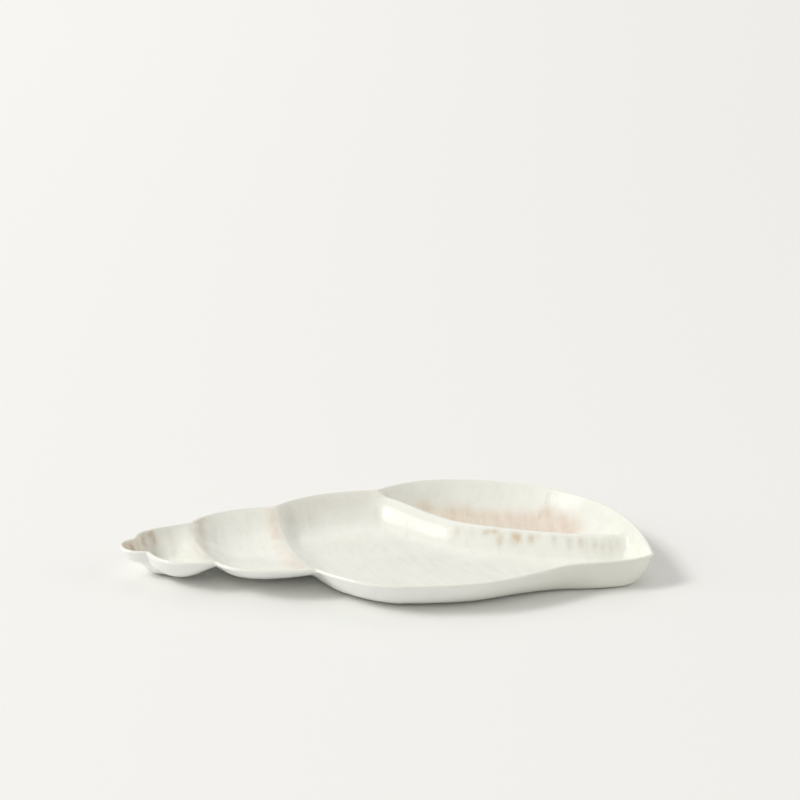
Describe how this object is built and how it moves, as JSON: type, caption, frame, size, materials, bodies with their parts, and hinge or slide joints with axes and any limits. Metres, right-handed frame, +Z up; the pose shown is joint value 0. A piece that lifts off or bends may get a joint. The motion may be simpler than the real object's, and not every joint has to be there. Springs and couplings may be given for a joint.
{
  "type": "chip and dip platter",
  "caption": "Shell-shaped glazed stoneware platter with a dip well parted from a larger chip well by a raised lip ridge.",
  "frame": {"origin": "centre of the outline's bounding box, on the plane that the base stands on", "axes": "+X along the shell from its apex to its canal, +Y to the back, where the dip well is, +Z up out of the wells"},
  "size_m": [0.471, 0.2526, 0.03],
  "materials": {
    "glazed_body": "gloss off-white glaze with faint tan and pink flushes along the crests and in the dip well"
  },
  "bodies": {
    "root": {"shell_platter": "glazed_body"}
  },
  "joints": []
}
